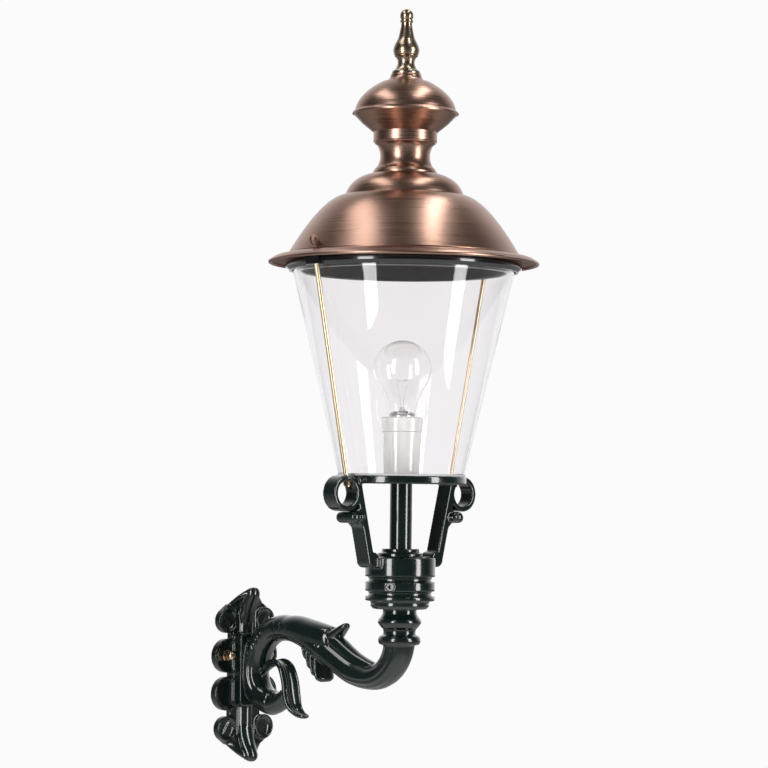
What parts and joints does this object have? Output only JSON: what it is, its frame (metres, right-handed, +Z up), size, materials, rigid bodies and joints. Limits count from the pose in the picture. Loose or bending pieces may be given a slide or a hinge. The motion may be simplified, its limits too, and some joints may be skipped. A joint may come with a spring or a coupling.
{
  "type": "wall lantern",
  "caption": "Round tapered glass wall lantern with a domed copper roof and finial, on a cast lyre cradle and a scrolled acanthus bracket.",
  "frame": {"origin": "centre of the wall plate's flat back, on the wall", "axes": "+Y points into the wall, the lantern stands out along -Y, +Z is up and +X is to the right of someone who faces the wall"},
  "size_m": [0.2798, 0.3899, 0.7955],
  "materials": {
    "copper": "spun and brushed copper",
    "bronze": "satin",
    "brass": "satin",
    "green_paint": "gloss",
    "black_paint": "gloss",
    "steel": "satin",
    "porcelain": "gloss",
    "lamp_glass": "clear",
    "shade_glass": "clear",
    "seal_rubber": "matt"
  },
  "bodies": {
    "bracket": {"wall_strap": "steel", "wall_plate": "green_paint", "wall_washers": "brass", "wall_nut_left": "brass", "wall_nut_right": "brass", "scroll_arm": "green_paint", "foot_screws": "steel", "cradle": "green_paint", "grub_screws": "steel", "stem_tube": "green_paint", "stem_plug": "steel", "holder_nipple": "steel", "holder_nut": "steel", "holder_body": "porcelain", "holder_shell": "brass", "holder_contact": "brass", "lower_seal": "seal_rubber", "glass_shade": "shade_glass", "upper_seal": "seal_rubber", "gallery_ring": "black_paint", "gallery_collar": "black_paint", "tie_rod_left": "brass", "tie_rod_right": "brass", "rod_nut_left": "brass", "rod_nut_right": "brass"},
    "roof": {"roof_dome": "copper", "shoulder_dome": "copper", "neck_spool": "copper", "crown_cone": "copper", "crown_dome": "copper", "finial": "bronze", "tie_bolt": "steel", "tie_washer": "steel", "tie_nut": "steel", "screw_bush_left": "brass", "screw_bush_right": "brass"},
    "thumb_left": {"thumb_screw_left": "copper"},
    "thumb_right": {"thumb_screw_right": "copper"},
    "bulb": {"bulb_cap": "steel", "bulb_glass": "lamp_glass", "bulb_mount": "lamp_glass", "bulb_filament": "steel"}
  },
  "joints": [
    {"name": "roof_lift", "type": "slide", "parent": "bracket", "child": "roof", "axis": [0, 0, 1], "range_m": [0, 0.12]},
    {"name": "thumb_left_turn", "type": "hinge", "parent": "roof", "child": "thumb_left", "pos_m": [-0.1175, -0.25, 0.44867], "axis": [-0.8617, 0, 0.5074], "continuous": true},
    {"name": "thumb_right_turn", "type": "hinge", "parent": "roof", "child": "thumb_right", "pos_m": [0.1175, -0.25, 0.44867], "axis": [0.8617, 0, 0.5074], "continuous": true},
    {"name": "bulb_turn", "type": "hinge", "parent": "bracket", "child": "bulb", "pos_m": [0, -0.25, 0.2655], "axis": [0, 0, 1], "continuous": true}
  ]
}
